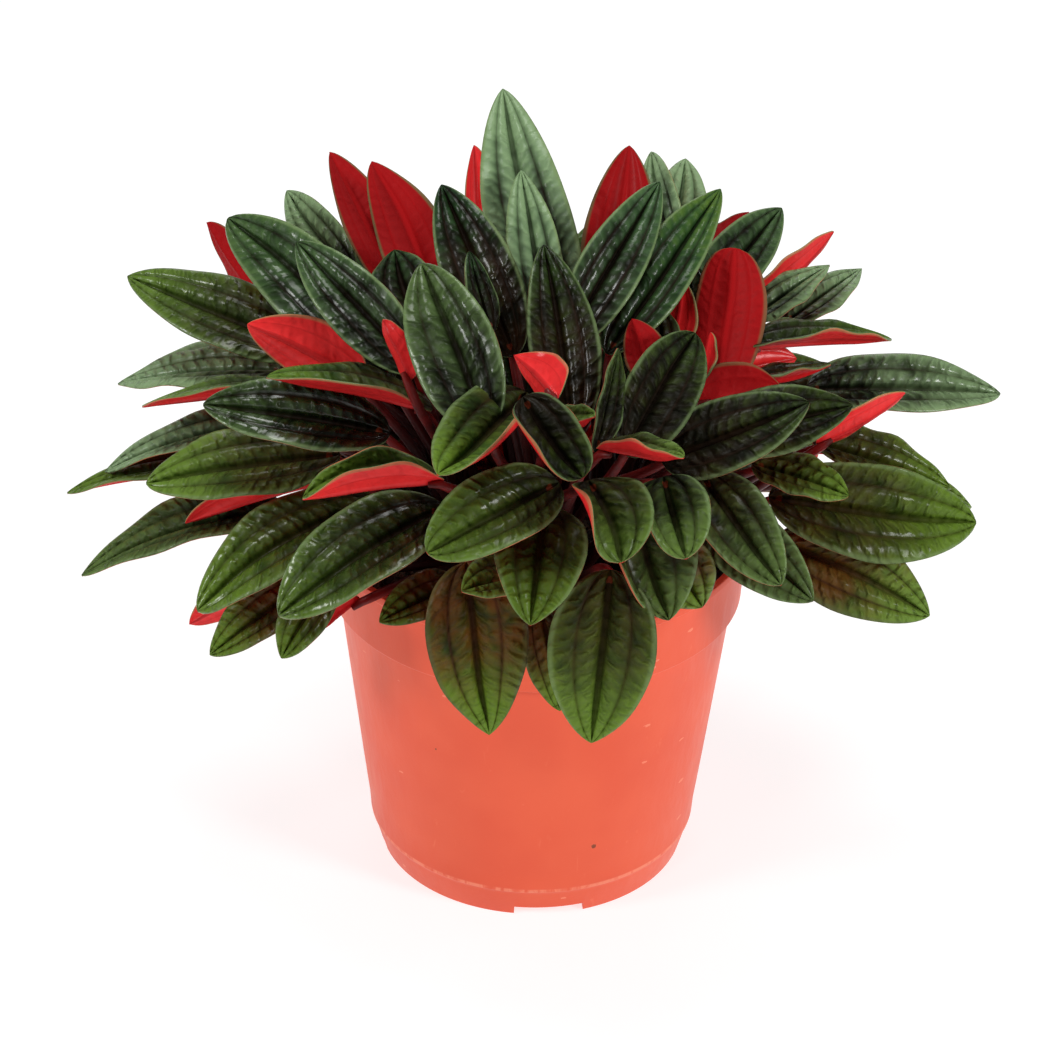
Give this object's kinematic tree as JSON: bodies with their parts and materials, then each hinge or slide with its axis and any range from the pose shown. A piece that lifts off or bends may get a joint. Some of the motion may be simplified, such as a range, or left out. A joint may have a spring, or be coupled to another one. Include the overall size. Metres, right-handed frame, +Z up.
{
  "type": "potted peperomia",
  "caption": "Bushy peperomia in a round tapered nursery pot: ribbed pointed leaves, dark green above and red below, on thin red stalks.",
  "frame": {"origin": "on the floor under the middle of the pot, which is the bottom centre of the part's box to within 2 mm", "axes": "+Z up along the pot's axis; -Y is the side that faces the camera in the picture; +X is to the right as seen from there"},
  "size_m": [0.2602, 0.1932, 0.2198],
  "materials": {
    "pot": "satin injection-moulded terracotta-orange plastic with faint scuffs and specks",
    "soil": "damp dark peat with loose fibres and crumbs",
    "leaf": "thick ribbed leaves, glossy dark green above, satin carmine red below, on red stalks"
  },
  "bodies": {
    "root": {"pot": "pot", "soil": "soil", "crown_1": "leaf", "crown_2": "leaf", "crown_3": "leaf", "crown_4": "leaf", "crown_5": "leaf", "crown_6": "leaf", "crown_7": "leaf"}
  },
  "joints": []
}
